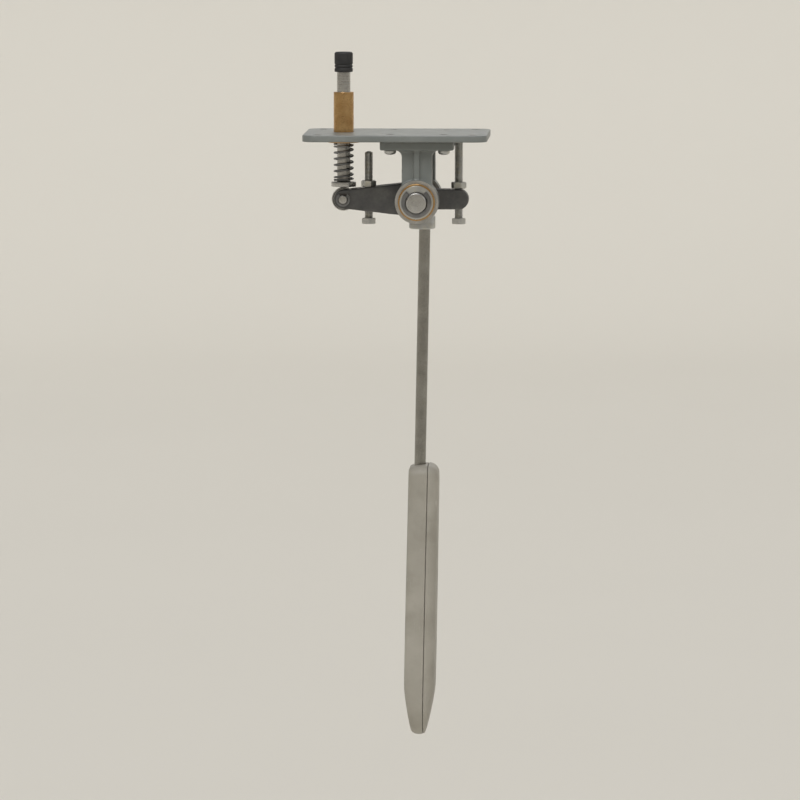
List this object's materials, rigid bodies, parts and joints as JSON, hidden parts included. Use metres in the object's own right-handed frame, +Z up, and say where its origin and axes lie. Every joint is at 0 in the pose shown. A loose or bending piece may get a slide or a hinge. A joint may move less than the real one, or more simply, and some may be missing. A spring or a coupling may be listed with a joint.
{
  "type": "sewing machine knee pedal",
  "caption": "Knee pedal of a sewing machine: a padded knee lever on a rocker under the table, which pushes up a spring-loaded lift rod.",
  "frame": {"origin": "on the mounting plate's top face, straight above the pivot axis, where the plate meets the table's underside", "axes": "+Z up, +Y away from the operator, +X to the operator's right, which is the way the knee pushes; the pivot axis runs along Y at z = -40 mm"},
  "size_m": [0.11, 0.169, 0.4257],
  "materials": {
    "bracket_paint": "satin grey enamel",
    "arm_casting": "fine-cast and blackened, machined faces",
    "turned_steel": "turned and ground",
    "plated_rod": "dull nickel plate",
    "zinc_fastener": "zinc plate",
    "bush_bronze": "oiled bearing bronze",
    "spring_wire": "drawn spring wire",
    "washer_nylon": "natural nylon",
    "cap_rubber": "moulded black rubber",
    "pad_plastic": "warm grey, finely textured"
  },
  "bodies": {
    "bracket": {"mounting_plate": "bracket_paint", "front_hanger": "bracket_paint", "rear_hanger": "bracket_paint", "hanger_screw_1": "zinc_fastener", "hanger_screw_2": "zinc_fastener", "hanger_screw_3": "zinc_fastener", "hanger_screw_4": "zinc_fastener", "front_bush": "bush_bronze", "rear_bush": "bush_bronze", "guide_sleeve": "bush_bronze", "return_spring": "spring_wire"},
    "rocker": {"rocker_shaft": "turned_steel", "thrust_washer": "washer_nylon", "rear_washer": "zinc_fastener", "shaft_clip": "spring_wire", "lift_arm": "arm_casting", "arm_set_screw": "zinc_fastener", "rest_stop_screw": "zinc_fastener", "rest_stop_nut": "zinc_fastener", "lift_stop_screw": "zinc_fastener", "lift_stop_nut": "zinc_fastener", "roller_pin": "turned_steel", "roller_clip": "spring_wire"},
    "roller": {"lift_roller": "turned_steel"},
    "lift_rod": {"lift_rod": "turned_steel", "lift_rod_cap": "cap_rubber"},
    "thumb_screw": {"thumb_screw": "zinc_fastener"},
    "lever": {"lever_rod": "plated_rod", "drive_pin": "turned_steel", "locating_pin": "turned_steel", "pad_back_shell": "pad_plastic", "pad_knee_shell": "pad_plastic", "rod_keeper": "zinc_fastener", "keeper_screw_1": "zinc_fastener", "keeper_screw_2": "zinc_fastener", "pad_screw_1": "zinc_fastener", "pad_screw_2": "zinc_fastener", "pad_screw_3": "zinc_fastener"}
  },
  "joints": [
    {"name": "knee_swing", "type": "hinge", "parent": "bracket", "child": "rocker", "pos_m": [0, 0, -0.04], "axis": [0, -1, 0], "range_deg": [0, 16], "stiffness_Nm_per_rad": 7, "springref_deg": -4.01},
    {"name": "roller_spin", "type": "hinge", "parent": "rocker", "child": "roller", "pos_m": [0.045, 0, -0.04], "axis": [0, -1, 0], "continuous": true},
    {"name": "lift_rod_slide", "type": "slide", "parent": "bracket", "child": "lift_rod", "axis": [0, 0, 1], "range_m": [0, 0.013], "deforming": ["return_spring"]},
    {"name": "thumb_screw_turn", "type": "hinge", "parent": "rocker", "child": "thumb_screw", "pos_m": [0, -0.054, -0.04], "axis": [0, 0, -1], "range_deg": [-360, 0]},
    {"name": "lever_pull_out", "type": "slide", "parent": "rocker", "child": "lever", "axis": [0, -1, 0], "range_m": [0, 0.026]}
  ],
  "couplings": [
    {"joint": "lift_rod_slide", "follows": "knee_swing", "m_per_rad": 0.045}
  ]
}
